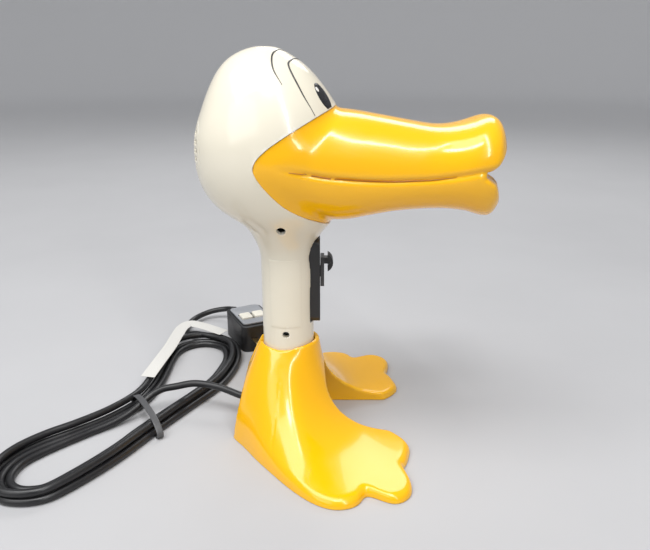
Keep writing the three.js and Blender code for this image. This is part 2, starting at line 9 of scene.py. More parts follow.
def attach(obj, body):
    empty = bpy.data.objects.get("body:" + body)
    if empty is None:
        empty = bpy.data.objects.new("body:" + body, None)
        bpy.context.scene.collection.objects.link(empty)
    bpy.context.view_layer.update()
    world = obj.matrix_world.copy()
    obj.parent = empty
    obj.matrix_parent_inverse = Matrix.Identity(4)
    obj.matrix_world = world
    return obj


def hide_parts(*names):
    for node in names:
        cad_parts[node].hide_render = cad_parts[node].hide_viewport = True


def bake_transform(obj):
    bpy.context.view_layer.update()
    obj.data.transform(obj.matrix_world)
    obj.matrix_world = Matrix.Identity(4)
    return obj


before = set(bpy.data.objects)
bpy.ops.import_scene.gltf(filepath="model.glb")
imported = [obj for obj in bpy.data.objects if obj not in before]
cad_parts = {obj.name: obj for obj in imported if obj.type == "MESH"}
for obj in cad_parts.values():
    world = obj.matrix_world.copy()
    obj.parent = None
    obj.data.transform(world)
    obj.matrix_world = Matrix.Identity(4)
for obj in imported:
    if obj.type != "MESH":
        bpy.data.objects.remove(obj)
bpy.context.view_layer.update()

MM = 0.001

# ---------------------------------------------------------------- driving sizes, as in the CAD
GAP = 0.3
WALL = 2.5
HANDLE_X = -43.75
HANDLE_BOTTOM = 56
HANDLE_HALF_DEPTH = 19
HANDLE_HALF_WIDTH = 17
COLLAR_TOP = 72
FLOOR_GAP = 0.5  # how high the bevelled rim of the stand's shell starts
HEAD_TOP = 279.6

# Height, back, front and half width of the head and the handle.
HEAD_SECTIONS = [
    (40, -19, 19, 17),
    (80, -19, 19, 17),
    (110, -19, 19, 17),
    (130, -19, 19, 17),
    (143, -20.5, 19.5, 18),
    (152, -24.5, 24, 22),
    (161, -31, 31, 28.5),
    (171, -45, 37, 36),
    (182, -55, 41, 41),
    (196, -60.5, 44, 45),
    (208, -62, 45, 46.5),
    (223, -61, 43, 46),
    (240, -55.5, 36.5, 42),
    (257, -48, 25, 33.5),
    (270, -38.5, 12, 22.5),
    (277, -27, 0.5, 13),
    (279.6, -18.5, -6.5, 6),
    (280.2, -12.5, -12.5, 0.2),
]
# Distance forward, top, bottom and half width of the bill.
BILL_SECTIONS = [
    (-15, 228, 188, 43.5),
    (5, 236, 176, 44),
    (20, 240.5, 168, 43),
    (34, 241, 165, 41.5),
    (54, 238, 167.5, 39.5),
    (76, 234, 171.5, 38),
    (91, 231.3, 172.8, 37.3),
    (104, 229.6, 173.3, 37.5),
    (117, 230.6, 172.6, 38.5),
    (128, 233.5, 170.5, 39.3),
    (138.5, 236, 168, 38.7),
    (144, 233.7, 170.8, 37.4),
    (147.5, 228.5, 178, 34.5),
    (150, 221.5, 186, 30),
]
# Distance forward, bottom and top of the gap between the lips.
LIP_GAP = [
    (130, 199.5, 203.5),
    (138.5, 198.6, 203),
    (142.5, 195.5, 204.3),
    (145.5, 190.5, 206.8),
    (147, 182, 209),
    (148.3, 168, 211.5),
    (150, 150, 216),
]
MOUTH_LINE = [(-15, 208.5), (-6, 207), (32, 200), (74, 197.5), (113, 200), (139, 204), (150, 205.5)]
MOUTH_GROOVE = 1.5
LIP_SWEEP = 7
MOUTH_OPENING = {"half_width": 27, "bottom": 193.5, "top": 205.5, "from": 112}
SEAM = [
    (70, 262),
    (36, 243.5),
    (20, 236),
    (3, 226.5),
    (-9, 218.5),
    (-16, 211.5),
    (-18, 206),
    (-16, 200.5),
    (-10, 192),
    (1, 180.5),
    (12, 173),
    (24, 166.5),
    (33, 160.5),
    (44, 148),
]
# Angle from the bill's direction, and distance from the handle's axis, of one foot's edge.
FOOT_EDGE = [
    (0, 44),
    (14, 60),
    (20, 84),
    (25, 98),
    (31, 103),
    (37, 106),
    (40, 108),
    (44, 119),
    (48, 127),
    (53, 129),
    (56, 125),
    (59.5, 113),
    (64, 115),
    (69, 117),
    (73, 115),
    (78, 108),
    (84, 96),
    (94, 78),
    (111, 61),
    (132, 52),
    (148, 51),
    (161, 47),
    (180, 40),
]
# The same without the toes, for the shape of the skin above them.
FOOT_WEB = [
    (0, 52),
    (20, 92),
    (35, 110),
    (50, 121),
    (62, 119),
    (76, 110),
    (90, 86),
    (111, 62),
    (132, 53),
    (148, 51),
    (161, 47),
    (180, 40),
]
# How hollow the skin falls from the collar to the edge, by angle; below 0 it bulges.
SKIN_CURVATURE = [
    (0, 0.1),
    (20, 0.07),
    (40, 0.052),
    (53, 0.043),
    (65, 0.034),
    (80, 0.02),
    (95, 0.004),
    (115, -0.02),
    (150, -0.03),
    (180, -0.03),
]
TOE_THICKNESS = 6
COLLAR_HALF_DEPTH = 24
COLLAR_HALF_WIDTH = 21
SHELF_TOP = HANDLE_BOTTOM - GAP
ARCH_HALF_WIDTH = 27
ARCH_HEIGHT = 47
COLLAR_ROLL = 6  # how far below the collar's top its skin begins
SOCKET_PLAY = 0.6
CORD_SLOT = {"half_width": 5, "bottom": 30}
CORD_BORE = {"radius": 9, "top": 60}
SCREWS = [(-2, 162, 3.2), (-1, 80, 2.7)]
INLET = {"z": 214, "radius": 23, "pitch": 5.4, "slot_half": 1.4, "rib_half": 4, "rim": 4}
PLATE = {"bottom": 86, "top": 150, "half_width": 8}
CORD_DIAMETER = 5.6
PLUG_SPOT = (-90, 147)
PLUG_TURN = math.radians(-63.4)
PLUG_LENGTH = 54
PLUG_MIDDLE = 13
PLUG_RELIEF_LENGTH = 24
TIE = {"x": -157, "y": -4, "turn": math.radians(-57), "width": 5, "thickness": 1.0}
TAG = {"width": 12, "thickness": 0.3}

# ---------------------------------------------------------------- smooth curves through tables


def natural_spline(keys, values, at):
    """A cubic curve through the values at the keys, with its curvature continuous."""
    keys, values = np.asarray(keys, float), np.asarray(values, float)
    count = len(keys)
    gaps = np.diff(keys)
    matrix = np.eye(count)
    right = np.zeros(count)
    for i in range(1, count - 1):
        matrix[i, i - 1 : i + 2] = gaps[i - 1], 2 * (gaps[i - 1] + gaps[i]), gaps[i]
        slopes = (values[i + 1] - values[i]) / gaps[i], (values[i] - values[i - 1]) / gaps[i - 1]
        right[i] = 6 * (slopes[0] - slopes[1])
    bend = np.linalg.solve(matrix, right)
    at = np.clip(at, keys[0], keys[-1])
    i = np.clip(np.searchsorted(keys, at) - 1, 0, count - 2)
    gap, a, b = gaps[i], keys[i + 1] - at, at - keys[i]
    cubic = (bend[i] * a**3 + bend[i + 1] * b**3) / (6 * gap)
    start = (values[i] / gap - bend[i] * gap / 6) * a
    end = (values[i + 1] / gap - bend[i + 1] * gap / 6) * b
    return cubic + start + end


class Profile:
    """Columns of a table as smooth functions of its first column, sampled finely for quick reading."""

    def __init__(self, table, columns):
        keys = [row[0] for row in table]
        self.keys = np.arange(keys[0], keys[-1] + 0.1, 0.2)
        rows = np.array([columns(*row[1:]) for row in table], float)
        self.values = [natural_spline(keys, rows[:, i], self.keys) for i in range(rows.shape[1])]

    def __call__(self, at):
        return [np.interp(at, self.keys, column) for column in self.values]


def middle_and_squares(low, high, half_width):
    """Squares of the half sizes fall evenly to nothing at a round end, so they interpolate well there."""
    return (low + high) / 2, ((high - low) / 2) ** 2, half_width**2


HEAD = Profile(HEAD_SECTIONS, middle_and_squares)
BILL = Profile(BILL_SECTIONS, lambda top, bottom, half: (top, bottom, half))
LIPS_APART = Profile(LIP_GAP, lambda bottom, top: ((bottom + top) / 2, (top - bottom) / 2))
LIPS_MEET = 137.5
BILL_END = 149.6
MOUTH = Profile(MOUTH_LINE, lambda z: (z,))
BILL_ROUNDNESS = 2.35  # exponent of the bill's sections; 2 is an ellipse

# ---------------------------------------------------------------- fields in mm, negative inside


def smooth_union(a, b, radius):
    share = np.clip(0.5 + 0.5 * (b - a) / radius, 0, 1)
    return b + (a - b) * share - radius * share * (1 - share)


def smooth_cut(a, b, radius):
    """The part inside both a and b, with a rounded edge where they meet."""
    return -smooth_union(-a, -b, radius)


def smoothstep(x, low, high):
    t = np.clip((x - low) / (high - low), 0, 1)
    return t * t * (3 - 2 * t)


def head_field(x, y, z):
    middle, depth_square, width_square = HEAD(z)
    depth_square = np.maximum(depth_square, 0.01)
    width_square = np.maximum(width_square, 0.01)
    size = np.maximum((depth_square * width_square) ** 0.25, 1)
    q = np.sqrt((x - middle) ** 2 / depth_square + y**2 / width_square)
    crown = z - HEAD_TOP
    return smooth_cut(smooth_cut((q - 1) * size, crown, 2.5), HANDLE_BOTTOM - z, 3)


def station(x, y):
    """The sides of the lips lie behind their middle, so a point there belongs to a later station."""
    return x + LIP_SWEEP * smoothstep(x, 85, 140) * (y / 39) ** 2


def superellipse(u, v, roundness):
    return (np.abs(u) ** roundness + np.abs(v) ** roundness) ** (1 / roundness)


def bill_field(x, y, z):
    along = station(x, y)
    top, bottom, half = BILL(along)
    (mouth,) = MOUTH(along)
    above = z - mouth
    groove = MOUTH_GROOVE * smoothstep(along, -7, 6) * np.exp(-((above / 1.7) ** 2))
    reach = np.where(above > 0, top - mouth, mouth - bottom)
    q = superellipse(y / (half - groove), above / reach, BILL_ROUNDNESS)
    body = (q - 1) * np.minimum(half, reach)
    body = smooth_cut(body, along - BILL_END, 5)
    middle, half_gap = LIPS_APART(along)
    gap = np.maximum(np.abs(z - middle) - half_gap, LIPS_MEET - along)
    body = smooth_cut(body, -gap, 3.5)
    return np.maximum(body, -15 - x)


def dryer_field(x, y, z):
    return smooth_union(head_field(x, y, z), bill_field(x, y, z), 4)


def around(table):
    """A table by angle from 0 to 180, read every tenth of a degree as a smooth closed curve."""
    whole = [(-a, r) for a, r in table[3:0:-1]] + table + [(360 - a, r) for a, r in table[-2:-5:-1]]
    turns = np.arange(0, 180.05, 0.1)
    return turns, natural_spline([a for a, _ in whole], [r for _, r in whole], turns)


FOOT_REACH = around(FOOT_EDGE)
WEB_REACH = around(FOOT_WEB)
SKIN_BEND = around(SKIN_CURVATURE)


def stand_field(x, y, z):
    radius = np.hypot(x, y)
    turn = np.degrees(np.arctan2(np.abs(y), x))
    reach = np.interp(turn, *FOOT_REACH)
    cos, sin = np.cos(np.radians(turn)), np.sin(np.radians(turn))
    start = np.hypot(COLLAR_HALF_DEPTH * cos, COLLAR_HALF_WIDTH * sin)
    away = radius - start
    bend = np.interp(turn, *SKIN_BEND)
    bend = np.where(np.abs(bend) < 0.001, 0.001, bend)
    web = np.interp(turn, *WEB_REACH) - start
    drop = (COLLAR_TOP - COLLAR_ROLL - TOE_THICKNESS) / (1 - np.exp(-bend * web))
    fade = np.exp(-bend * np.maximum(away, -3))
    height = COLLAR_TOP - COLLAR_ROLL - drop * (1 - fade)
    skin = (z - height) / np.sqrt(1 + (drop * bend * fade) ** 2)
    skin = smooth_cut(skin, radius - reach, 7)
    skin = smooth_cut(skin, z - COLLAR_TOP, 3)
    arch = 1 - np.sqrt((y / ARCH_HALF_WIDTH) ** 2 + (np.maximum(z, 0) / ARCH_HEIGHT) ** 2)
    skin = smooth_cut(skin, arch * ARCH_HALF_WIDTH, 2)
    socket = (HANDLE_HALF_DEPTH + SOCKET_PLAY, HANDLE_HALF_WIDTH + SOCKET_PLAY)
    q = np.hypot(x / socket[0], y / socket[1])
    room = smooth_cut((q - 1) * socket[1], SHELF_TOP - z, 0.5)
    skin = smooth_cut(skin, -room, 2.4)
    above_bottom = CORD_SLOT["bottom"] - z
    cord_slot = np.maximum(np.abs(y) - CORD_SLOT["half_width"], np.maximum(x, above_bottom))
    skin = smooth_cut(skin, -cord_slot, 1.5)
    bore = np.maximum(np.hypot(x, y) - CORD_BORE["radius"], np.maximum(z - CORD_BORE["top"], above_bottom))
    return np.maximum(skin, -bore)


# ---------------------------------------------------------------- from fields to meshes


def surface_net(field, low, high, step):
    """Vertices and outward quads of a field's zero surface, in a box."""
    axes = [np.arange(a, b + step, step) for a, b in zip(low, high)]
    grid = np.meshgrid(*axes, indexing="ij")
    values = field(*grid)
    inside = values < 0
    cells = tuple(n - 1 for n in values.shape)
    total = np.zeros(cells + (3,))
    number = np.zeros(cells)

    def corner(offset, array):
        return array[tuple(slice(o, o + n) for o, n in zip(offset, cells))]

    for axis in range(3):
        for side in range(4):
            first = [0, 0, 0]
            first[(axis + 1) % 3], first[(axis + 2) % 3] = side & 1, side >> 1
            second = list(first)
            second[axis] = 1
            a, b = corner(first, values), corner(second, values)
            crossing = (a < 0) != (b < 0)
            share = np.where(crossing, a / np.where(crossing, a - b, 1), 0)
            for k in range(3):
                total[..., k] += crossing * (first[k] + (share if k == axis else 0))
            number += crossing
    active = number > 0
    index = np.full(cells, -1)
    index[active] = np.arange(active.sum())
    places = np.argwhere(active) + total[active] / number[active][:, None]
    vertices = np.array(low) + places * step
    quads = []
    for axis in range(3):
        u, v = (axis + 1) % 3, (axis + 2) % 3
        near = [slice(1, -1)] * 3
        near[axis] = slice(0, -1)
        far = list(near)
        far[axis] = slice(1, None)
        a, b = inside[tuple(near)], inside[tuple(far)]
        places = np.argwhere(a != b)
        leaving = a[tuple(places.T)]
        places = places + [0 if k == axis else 1 for k in range(3)]
        ring = []
        for du, dv in ((1, 1), (0, 1), (0, 0), (1, 0)):
            cell = places.copy()
            cell[:, u] -= du
            cell[:, v] -= dv
            ring.append(index[tuple(cell.T)])
        ring = np.stack(ring, 1)
        ring[~leaving] = ring[~leaving][:, ::-1]
        quads.append(ring)
    return vertices, np.concatenate(quads)


def gradient(field, points, reach=0.02):
    parts = []
    for axis in range(3):
        step = np.zeros(3)
        step[axis] = reach
        ahead, behind = points + step, points - step
        parts.append((field(*ahead.T) - field(*behind.T)) / (2 * reach))
    return np.stack(parts, 1)


def settle(field, points, rounds=3, limit=0.8):
    """Moves points onto the field's surface, along its slope."""
    for _ in range(rounds):
        slope = gradient(field, points)
        square = np.maximum((slope**2).sum(1), 1e-4)
        move = -(field(*points.T) / square)[:, None] * slope
        length = np.linalg.norm(move, axis=1, keepdims=True)
        points = points + move * np.minimum(1, limit / np.maximum(length, 1e-9))
    return points


def clip(points, faces, guide, snap):
    """Keeps the part of a mesh where guide is negative, cut cleanly along its zero line."""
    values = guide(points)
    near = np.abs(values) < snap
    if near.any():
        reach = 0.05
        slopes = []
        for axis in range(3):
            step = np.zeros(3)
            step[axis] = reach
            slopes.append((guide(points[near] + step) - guide(points[near] - step)) / (2 * reach))
        slopes = np.stack(slopes, 1)
        square = np.maximum((slopes**2).sum(1, keepdims=True), 0.2)
        points = points.copy()
        points[near] -= values[near][:, None] * slopes / square
        values = np.where(near, 0, values)
    made = list(points)
    between = {}

    def crossing(i, j):
        key = (min(i, j), max(i, j))
        if key not in between:
            share = values[i] / (values[i] - values[j])
            between[key] = len(made)
            made.append(points[i] + (points[j] - points[i]) * share)
        return between[key]

    kept = []
    for face in faces:
        signs = [values[i] for i in face]
        if max(signs) <= 0:
            if min(signs) < 0:
                kept.append(tuple(face))
            continue
        if min(signs) >= 0:
            continue
        ring = []
        for i, j in zip(face, list(face[1:]) + [face[0]]):
            if values[i] <= 0:
                ring.append(i)
            if values[i] * values[j] < 0:
                ring.append(crossing(i, j))
        if len(ring) > 2:
            kept.append(tuple(ring))
    return np.array(made), kept


def mesh_object(name, points, faces, body, material, shift=(HANDLE_X, 0, 0)):
    """A smooth-shaded mesh from points in millimetres from the handle's axis."""
    used = sorted({i for face in faces for i in face})
    renumber = {old: new for new, old in enumerate(used)}
    places = (np.asarray(points)[used] + np.array(shift)) * MM
    data = bpy.data.meshes.new(name)
    data.from_pydata(places.tolist(), [], [[renumber[i] for i in face] for face in faces])
    data.update()
    data.shade_smooth()
    made = bpy.data.objects.new(name, data)
    bpy.context.scene.collection.objects.link(made)
    made.data.materials.append(material)
    if body:
        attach(made, body)
    return made


def thicken(piece, thickness, edge):
    """Gives a skin its wall inwards, with the rims rounded."""
    solid = piece.modifiers.new("wall", "SOLIDIFY")
    solid.thickness = thickness * MM
    solid.offset = -1
    solid.use_even_offset = False
    bevel = piece.modifiers.new("rim", "BEVEL")
    bevel.width = edge * MM
    bevel.segments = 3
    bevel.limit_method = "ANGLE"
    bevel.angle_limit = math.radians(50)
    bevel.use_clamp_overlap = True
    return piece


def rounded_copy(node, body, material, edge, segments=3):
    """A CAD piece's shape again, with its edges rounded."""
    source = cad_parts[node]
    data = source.data.copy()
    shape = bmesh.new()
    shape.from_mesh(data)
    bmesh.ops.remove_doubles(shape, verts=shape.verts, dist=1e-6)
    bmesh.ops.dissolve_limit(shape, angle_limit=math.radians(2), verts=shape.verts, edges=shape.edges)
    bmesh.ops.recalc_face_normals(shape, faces=shape.faces)
    shape.to_mesh(data)
    shape.free()
    data.materials.clear()
    data.materials.append(material)
    data.shade_smooth()
    made = bpy.data.objects.new(node + "_rounded", data)
    bpy.context.scene.collection.objects.link(made)
    bevel = made.modifiers.new("edges", "BEVEL")
    bevel.width = edge * MM
    bevel.segments = segments
    bevel.limit_method = "ANGLE"
    bevel.angle_limit = math.radians(30)
    bevel.harden_normals = True
    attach(made, body)
    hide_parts(node)
    return made


# ---------------------------------------------------------------- materials


class Look:
    """A procedural material: one principled shader, with helpers for its noise and bump."""

    def __init__(self, name, roughness, metallic=0.0, coat=0.0, coat_roughness=0.03):
        self.material = bpy.data.materials.new(name)
        self.material.use_nodes = True
        self.nodes = self.material.node_tree.nodes
        self.links = self.material.node_tree.links
        self.shader = self.nodes["Principled BSDF"]
        self.shader.inputs["Roughness"].default_value = roughness
        self.shader.inputs["Metallic"].default_value = metallic
        self.shader.inputs["Coat Weight"].default_value = coat
        self.shader.inputs["Coat Roughness"].default_value = coat_roughness
        self.place = self.nodes.new("ShaderNodeTexCoord").outputs["Object"]
        self.bumps = []

    def noise(self, scale, detail=3.0, stretch=None):
        texture = self.nodes.new("ShaderNodeTexNoise")
        texture.inputs["Scale"].default_value = scale
        texture.inputs["Detail"].default_value = detail
        source = self.place
        if stretch:
            mapping = self.nodes.new("ShaderNodeMapping")
            mapping.inputs["Scale"].default_value = stretch
            self.links.new(self.place, mapping.inputs["Vector"])
            source = mapping.outputs["Vector"]
        self.links.new(source, texture.inputs["Vector"])
        return texture.outputs["Fac"]

    def ranged(self, value, low, high, to_low, to_high):
        node = self.nodes.new("ShaderNodeMapRange")
        for name, number in (("From Min", low), ("From Max", high), ("To Min", to_low), ("To Max", to_high)):
            node.inputs[name].default_value = number
        self.links.new(value, node.inputs["Value"])
        return node.outputs["Result"]

    def mix(self, factor, first, second):
        """A colour between two; each is a colour or another mix."""
        node = self.nodes.new("ShaderNodeMix")
        node.data_type = "RGBA"
        self.links.new(factor, node.inputs["Factor"])
        for socket, value in ((node.inputs[6], first), (node.inputs[7], second)):
            if isinstance(value, tuple):
                socket.default_value = (*value, 1)
            else:
                self.links.new(value, socket)
        return node.outputs[2]

    def colour(self, value):
        self.links.new(value, self.shader.inputs["Base Color"])
        return self

    def rough(self, value):
        self.links.new(value, self.shader.inputs["Roughness"])
        return self

    def bump(self, height, strength, distance):
        node = self.nodes.new("ShaderNodeBump")
        node.inputs["Strength"].default_value = strength
        node.inputs["Distance"].default_value = distance
        self.links.new(height, node.inputs["Height"])
        if self.bumps:
            self.links.new(self.bumps[-1], node.inputs["Normal"])
        self.bumps.append(node.outputs["Normal"])
        self.links.new(self.bumps[-1], self.shader.inputs["Normal"])
        return self

    def distance(self, low, high):
        """From 0 near the object's origin to 1 far from it."""
        length = self.nodes.new("ShaderNodeVectorMath")
        length.operation = "LENGTH"
        self.links.new(self.place, length.inputs[0])
        return self.ranged(length.outputs["Value"], low, high, 0, 1)

    def edges(self, low=0.52, high=0.62):
        """From 0 on flat parts to 1 on sharp outer edges."""
        geometry = self.nodes.new("ShaderNodeNewGeometry")
        return self.ranged(geometry.outputs["Pointiness"], low, high, 0, 1)


def shade(colour, factor):
    return tuple(min(1.0, part * factor) for part in colour)


def moulded(name, colour, worn, roughness, spread, coat=0.0, grain=0.02, grain_scale=900):
    """Moulded plastic: faint clouds of colour, uneven gloss, a fine skin and paler rubbed edges."""
    look = Look(name, roughness, coat=coat)
    clouds = look.noise(18)
    base = look.mix(clouds, shade(colour, 0.95), shade(colour, 1.04))
    look.colour(look.mix(look.edges(), base, worn))
    smears = look.noise(55, 5)
    look.rough(look.ranged(smears, 0.3, 0.7, roughness - spread, roughness + spread))
    look.bump(look.noise(grain_scale, 2), grain, 0.0002)
    look.bump(look.noise(35, 1), 0.03, 0.0006)
    return look.material


CREAM = moulded("cream_plastic", (0.78, 0.73, 0.6), (0.84, 0.8, 0.7), 0.2, 0.05, coat=0.35)
YELLOW = moulded("yellow_plastic", (0.94, 0.48, 0.001), (1.0, 0.56, 0.01), 0.2, 0.04, coat=0.4)
# Painted shade: a dark yellow for the bottom of the mouth's groove.
GROOVE_SHADE = moulded("yellow_groove_shade", (0.42, 0.13, 0.001), (0.5, 0.16, 0.001), 0.35, 0.05)
SATIN_BLACK = moulded("black_plastic", (0.012, 0.012, 0.013), (0.05, 0.05, 0.052), 0.38, 0.08, grain=0.15)
CORD_BLACK = moulded("black_rubber", (0.011, 0.011, 0.012), (0.02, 0.02, 0.022), 0.36, 0.07, grain=0.08)
PANEL_GREY = moulded("grey_plastic", (0.26, 0.27, 0.29), (0.4, 0.41, 0.43), 0.5, 0.06, grain=0.2)
TIE_GREY = moulded("tie_plastic", (0.075, 0.076, 0.08), (0.12, 0.12, 0.125), 0.42, 0.06, grain=0.2)
BUTTON_WHITE = moulded("white_plastic", (0.72, 0.69, 0.6), (0.82, 0.8, 0.74), 0.45, 0.06, grain=0.1)


def metal(name, colour, roughness):
    look = Look(name, roughness, metallic=1.0)
    brushed = look.noise(300, 3, (1, 12, 1))
    look.colour(look.mix(brushed, shade(colour, 0.85), colour))
    look.rough(look.ranged(brushed, 0.3, 0.7, roughness - 0.08, roughness + 0.1))
    look.bump(brushed, 0.08, 0.0001)
    return look.material


STEEL = metal("steel", (0.55, 0.56, 0.57), 0.32)
BRASS = metal("brass", (0.8, 0.58, 0.27), 0.3)


def flaky_mica():
    look = Look("mica", 0.55)
    flakes = look.noise(220, 6, (1, 1, 4))
    look.colour(look.mix(flakes, (0.42, 0.36, 0.22), (0.66, 0.6, 0.42)))
    look.rough(look.ranged(flakes, 0.3, 0.7, 0.4, 0.7))
    look.bump(flakes, 0.2, 0.0002)
    return look.material


def fibrous_paper():
    look = Look("paper", 0.75)
    fibres = look.noise(700, 6, (1, 3, 1))
    creases = look.noise(30, 2)
    look.colour(look.mix(fibres, (0.52, 0.51, 0.48), (0.68, 0.67, 0.64)))
    look.rough(look.ranged(fibres, 0.3, 0.7, 0.6, 0.85))
    look.bump(fibres, 0.2, 0.0001)
    look.bump(creases, 0.3, 0.0008)
    return look.material


def eye_paint(name, colour):
    look = Look(name, 0.3)
    strokes = look.noise(160, 3)
    look.colour(look.mix(strokes, shade(colour, 0.8), shade(colour, 1.25)))
    look.rough(look.ranged(strokes, 0.3, 0.7, 0.24, 0.4))
    look.bump(strokes, 0.05, 0.0001)
    return look.material


MICA = flaky_mica()
PAPER = fibrous_paper()
BLACK_PAINT = eye_paint("black_paint", (0.012, 0.012, 0.014))
LINE_PAINT = eye_paint("line_paint", (0.055, 0.052, 0.05))
GLINT_PAINT = eye_paint("glint_paint", (0.8, 0.79, 0.76))

# ---------------------------------------------------------------- camera


def add_camera():
    data = bpy.data.cameras.new("camera")
    data.lens = 36
    data.sensor_width = 36
    camera = bpy.data.objects.new("camera", data)
    camera.location = (-0.01615, -0.451, 0.28)
    camera.rotation_euler = (math.radians(90 - 19.455), 0, 0)
    bpy.context.scene.collection.objects.link(camera)
    bpy.context.scene.camera = camera


add_camera()

# ---------------------------------------------------------------- cord

RELIEF_END = 38
CORD_ROUTE = [
    (HANDLE_X, 0, RELIEF_END - GAP),
    (HANDLE_X, 0, 34.5),
    (HANDLE_X - 1.8, 0, 27.5),
    (HANDLE_X - 6.5, 0.3, 21),
    (HANDLE_X - 13.5, 1, 16),
    (HANDLE_X - 23, 2.5, 14),
    (HANDLE_X - 38, 5.5, 16.5),
    (HANDLE_X - 58, 11, 21.5),
    (HANDLE_X - 78, 16, 22),
    (HANDLE_X - 94, 16.5, 18.8),
    (HANDLE_X - 104, 15, 17.3),
]
TAIL_ROUTE = [
    (-155.5, 152, 4.5),
    (-159, 170, 4.5),
    (-154, 188, 5.5),
    (-140, 200, 8),
    (-123, 200.5, 11),
    (-114, 194.7, 13),
]
INTO_HANK = [(-156, 11.5, 14), (-163, 4.5, 10), (-171, -4.5, 6.4), (-181, -14, 4), (-194, -25, 3)]
OUT_OF_HANK = [(-144, 143, 7.8)]
# The outermost turn of the hank, seen from above.
HANK_TURN = [
    (-98.5, 80),
    (-98, 104),
    (-106, 127),
    (-127, 140),
    (-150, 136),
    (-165, 118),
    (-168.5, 90),
    (-168, 56),
    (-174, 22),
    (-196, -10),
    (-222, -32),
    (-240, -54),
    (-245, -75),
    (-239, -94),
    (-223, -105.5),
    (-203, -105.5),
    (-187, -94),
    (-161, -56),
    (-145, -24),
    (-124, 14),
    (-106, 48),
]
TURN_POINTS = 28
FIRST_TURN = 10.4 / 21  # where the cord joins the hank, as a share of the way round
LAST_TURN = 4 + 2.6 / 21
LOWER_TURNS = 2.5
CLIMB = 0.2  # share of a turn in which the cord climbs onto the lower turns
TURN_SPACING = 5.9
LAYER_HEIGHTS = (2.8, 8.5)


def closed_curve(corners, share):
    """A point on the smooth closed curve through the corners, and the direction to its left."""
    corners = np.array(corners, float)
    place = (share % 1) * len(corners)
    i = int(place)
    t = place - i
    a, b, c, d = (corners[(i + k) % len(corners)] for k in (-1, 0, 1, 2))
    point = 0.5 * (2 * b + (c - a) * t + (2 * a - 5 * b + 4 * c - d) * t**2 + (3 * b - a - 3 * c + d) * t**3)
    ahead = (c - a) + 2 * (2 * a - 5 * b + 4 * c - d) * t + 3 * (3 * b - a - 3 * c + d) * t**2
    return point, np.array([-ahead[1], ahead[0]]) / np.linalg.norm(ahead)


def hank_point(turn):
    """A point of the hank. The lower turns wind out from its middle, and the upper ones lie on them."""
    wound = turn - FIRST_TURN
    inset = TURN_SPACING * max(LOWER_TURNS - wound, 0, wound - LOWER_TURNS - CLIMB)
    height = np.interp(wound, [LOWER_TURNS, LOWER_TURNS + CLIMB], LAYER_HEIGHTS)
    outermost, inwards = closed_curve(HANK_TURN, turn)
    x, y = outermost + inset * inwards
    return (x, y, height)


def dense_curve(points, step):
    """Centripetal Catmull-Rom curve through points, sampled evenly."""
    points = np.array(points, float)
    points = np.vstack([2 * points[0] - points[1], points, 2 * points[-1] - points[-2]])
    fine = []
    for p0, p1, p2, p3 in zip(points, points[1:], points[2:], points[3:]):
        pairs = ((p0, p1), (p1, p2), (p2, p3))
        knots = np.cumsum([0] + [max(np.linalg.norm(b - a), 1e-6) ** 0.5 for a, b in pairs])
        for t in np.linspace(knots[1], knots[2], 12, endpoint=False):
            a = [
                p0 + (p1 - p0) * (t - knots[0]) / (knots[1] - knots[0]),
                p1 + (p2 - p1) * (t - knots[1]) / (knots[2] - knots[1]),
                p2 + (p3 - p2) * (t - knots[2]) / (knots[3] - knots[2]),
            ]
            b = [
                a[0] + (a[1] - a[0]) * (t - knots[0]) / (knots[2] - knots[0]),
                a[1] + (a[2] - a[1]) * (t - knots[1]) / (knots[3] - knots[1]),
            ]
            fine.append(b[0] + (b[1] - b[0]) * (t - knots[1]) / (knots[2] - knots[1]))
    fine.append(points[-2])
    fine = np.array(fine)
    lengths = np.concatenate([[0], np.cumsum(np.linalg.norm(np.diff(fine, axis=0), axis=1))])
    even = np.linspace(0, lengths[-1], max(2, int(lengths[-1] / step)))
    return np.stack([np.interp(even, lengths, fine[:, k]) for k in range(3)], 1)


def ring_faces(rings, sides):
    """Outward faces of a row of rings, with both ends closed."""
    faces = []
    for ring in range(rings - 1):
        for i in range(sides):
            a, b = ring * sides + i, ring * sides + (i + 1) % sides
            faces.append((a, b, b + sides, a + sides))
    faces.append(tuple(range(sides))[::-1])
    faces.append(tuple((rings - 1) * sides + i for i in range(sides)))
    return faces


def tube_mesh(path, radius, sides):
    """Vertices and faces of a closed round tube along a path."""
    path = np.asarray(path)
    ahead = np.gradient(path, axis=0)
    ahead /= np.linalg.norm(ahead, axis=1, keepdims=True)
    across = np.cross(ahead[0], [0, 1, 0.2])
    rings = []
    for place, direction in zip(path, ahead):
        across = across - direction * (across @ direction)
        across = across / np.linalg.norm(across)
        up = np.cross(direction, across)
        turns = np.arange(sides) * 2 * math.pi / sides
        rings.append(place + radius * (np.outer(np.cos(turns), across) + np.outer(np.sin(turns), up)))
    return np.concatenate(rings), ring_faces(len(rings), sides)


def cord_points():
    count = round((LAST_TURN - FIRST_TURN) * TURN_POINTS)
    turns = [FIRST_TURN + (LAST_TURN - FIRST_TURN) * i / count for i in range(count + 1)]
    return CORD_ROUTE + INTO_HANK + [hank_point(turn) for turn in turns] + OUT_OF_HANK + TAIL_ROUTE


def add_cord():
    path = dense_curve(cord_points(), 2.2)
    points, faces = tube_mesh(path, CORD_DIAMETER / 2, 14)
    cord = mesh_object("mains_cord", points, faces, None, CORD_BLACK, shift=(0, 0, 0))
    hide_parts("cord_lead", "cord_hank", "cord_tail")
    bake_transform(cord)
    return cord, path * MM


cord, cord_path = add_cord()

# ---------------------------------------------------------------- the dryer's shells
STEP = 1.3
SNAP = 0.4
SEAM_LINE = dense_curve([(x, 0, z) for x, z in SEAM], 1.2)[:, [0, 2]]
SEAM_GAP = 0.15
HALF_GAP = 0.1
BILL_SINK = 0.7  # how far the bill's skin lies below the head's at the seam


